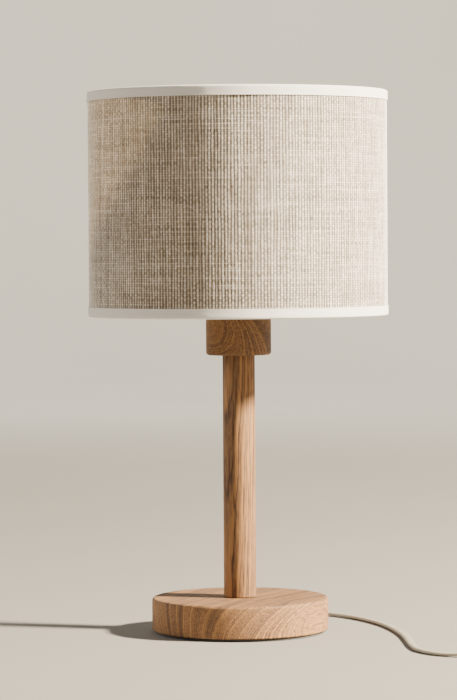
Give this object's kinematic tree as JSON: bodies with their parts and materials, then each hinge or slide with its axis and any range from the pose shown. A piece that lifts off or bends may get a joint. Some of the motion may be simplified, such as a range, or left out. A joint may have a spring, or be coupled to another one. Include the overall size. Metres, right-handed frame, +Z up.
{
  "type": "table lamp with shade",
  "caption": "Table lamp: round wooden base, slim post and cup under a cylindrical linen drum shade, with a flat flex, inline rocker switch and two-pin plug.",
  "frame": {"origin": "centre of the base's felt underside, on the surface that the lamp stands on", "axes": "+Z up along the post, +Y to the back, where the flex leaves the base, +X to the right as seen from the front"},
  "size_m": [0.4162, 0.3147, 0.452],
  "materials": {
    "wood": "satin oiled ash, strong grain",
    "felt": "pressed wool felt",
    "steel": "zinc plated",
    "flex": "soft greige PVC flex",
    "core_brown": "single insulated core",
    "core_blue": "single insulated core",
    "holder_plastic": "moulded thermoset",
    "insulator": "unglazed steatite",
    "brass": "plain",
    "linen": "slubby flax linen, plain weave",
    "liner": "white styrene shade liner",
    "white_paint": "white powder coat",
    "tape": "ivory cotton bias tape",
    "opal_glass": "opal coated inside",
    "stem_glass": "clear",
    "black_glass": "vitrite",
    "nickel": "nickel plated",
    "phosphor": "phosphor coated",
    "strap": "woven hook and loop strap",
    "switch_plastic": "satin moulded, matches the flex"
  },
  "bodies": {
    "lamp": {"base_felt": "felt", "base_disc": "wood", "base_weight": "steel", "weight_screw_1": "steel", "weight_screw_2": "steel", "weight_screw_3": "steel", "base_washer": "steel", "base_nut": "steel", "strain_relief": "flex", "stem_post": "wood", "threaded_tube": "steel", "inner_flex": "flex", "live_core": "core_brown", "neutral_core": "core_blue", "holder_cup": "wood", "cup_washer": "steel", "cup_nut": "steel", "holder_base": "holder_plastic", "holder_insert": "insulator", "holder_shell": "holder_plastic", "holder_thread_sleeve": "brass", "centre_contact": "brass", "side_contact": "brass", "terminal_screw_1": "brass", "terminal_screw_2": "brass", "cord_lead_a": "flex", "cord_lead_b": "flex", "cord_tail": "flex", "cord_coil": "flex", "coil_tie": "strap", "switch_upper": "switch_plastic", "switch_lower": "switch_plastic", "switch_contact": "brass", "switch_screw_1": "steel", "switch_screw_2": "steel", "plug_body": "switch_plastic", "plug_pin_live": "nickel", "plug_pin_neutral": "nickel"},
    "shade": {"shade_fabric": "linen", "shade_liner": "liner", "top_ring": "white_paint", "bottom_ring": "white_paint", "top_trim": "tape", "bottom_trim": "tape", "spider_fitter": "white_paint", "spider_arm_1": "white_paint", "spider_arm_2": "white_paint", "spider_arm_3": "white_paint"},
    "clamp_ring": {"clamp_ring": "holder_plastic"},
    "bulb": {"bulb_glass": "opal_glass", "bulb_screw_shell": "nickel", "bulb_insulator": "black_glass", "bulb_tip_contact": "nickel", "bulb_stem": "stem_glass", "led_filament_1": "phosphor", "led_filament_2": "phosphor", "led_filament_3": "phosphor", "led_filament_4": "phosphor"},
    "switch_rocker": {"switch_rocker": "switch_plastic"}
  },
  "joints": [
    {"name": "shade_turn", "type": "hinge", "parent": "lamp", "child": "shade", "pos_m": [0, 0, 0.2912], "axis": [0, 0, 1], "continuous": true},
    {"name": "clamp_turn", "type": "hinge", "parent": "lamp", "child": "clamp_ring", "pos_m": [0, 0, 0.2953], "axis": [0, 0, 1], "range_deg": [0, 720]},
    {"name": "bulb_lift", "type": "slide", "parent": "lamp", "child": "bulb", "axis": [0, 0, 1], "range_m": [0, 0.19]},
    {"name": "rocker_press", "type": "hinge", "parent": "lamp", "child": "switch_rocker", "pos_m": [0.226, -0.172, 0.0132], "axis": [0, 1, 0], "range_deg": [-20, 0]}
  ]
}
